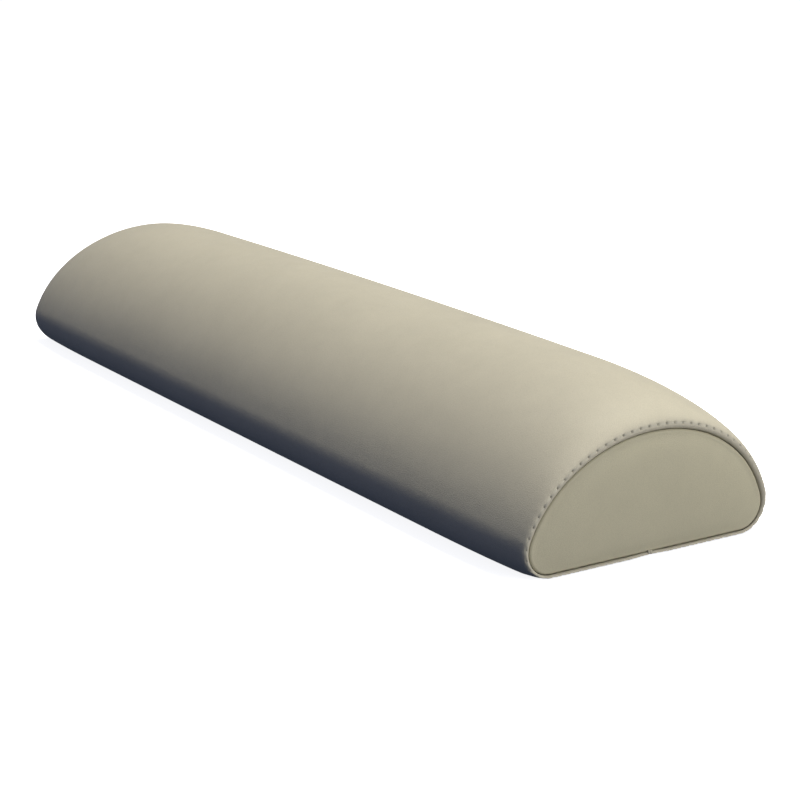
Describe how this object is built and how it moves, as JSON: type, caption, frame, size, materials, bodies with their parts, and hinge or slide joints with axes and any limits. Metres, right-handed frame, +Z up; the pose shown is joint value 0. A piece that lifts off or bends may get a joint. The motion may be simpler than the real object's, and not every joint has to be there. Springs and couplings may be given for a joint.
{
  "type": "bolster pillow",
  "caption": "Half-round massage bolster: foam core with wadding in a stitched vinyl cover, D-shaped end panels and a zip along its flat base.",
  "frame": {"origin": "under the middle of the bolster, on the flat base it rests on", "axes": "+X along the bolster towards its right-hand end, +Y across it towards the rear, +Z up from the flat base"},
  "size_m": [0.66, 0.2032, 0.102],
  "materials": {
    "vinyl": "smooth matt cream upholstery vinyl with a very fine grain",
    "foam": "open-cell foam",
    "wadding": "bonded fibre wadding",
    "thread": "bonded polyester thread",
    "zip_tape": "woven tape",
    "zip_coil": "nylon coil",
    "zip_metal": "nickel-plated, satin"
  },
  "bodies": {
    "cover": {"foam_core": "foam", "fibre_wrap": "wadding", "cover_wrap": "vinyl", "end_panel_left": "vinyl", "end_panel_right": "vinyl", "seam_thread_left": "thread", "seam_thread_right": "thread", "topstitch_left": "thread", "topstitch_right": "thread", "base_seam_left": "thread", "base_seam_right": "thread", "zip_stitch_front": "thread", "zip_stitch_rear": "thread", "bar_tack_left": "thread", "bar_tack_right": "thread", "zip_tape_front": "zip_tape", "zip_tape_rear": "zip_tape", "zip_coil_front": "zip_coil", "zip_coil_rear": "zip_coil", "zip_top_stop_front": "zip_metal", "zip_top_stop_rear": "zip_metal", "zip_bottom_stop": "zip_metal"},
    "slider": {"slider_body": "zip_metal"},
    "pull": {"pull_tab": "zip_metal"}
  },
  "joints": [
    {"name": "zip_slide", "type": "slide", "parent": "cover", "child": "slider", "axis": [-1, 0, 0], "range_m": [0, 0.507]},
    {"name": "pull_hinge", "type": "hinge", "parent": "slider", "child": "pull", "pos_m": [0.2535, 0, 0.0025], "axis": [0, -1, 0], "range_deg": [0, 180]}
  ]
}
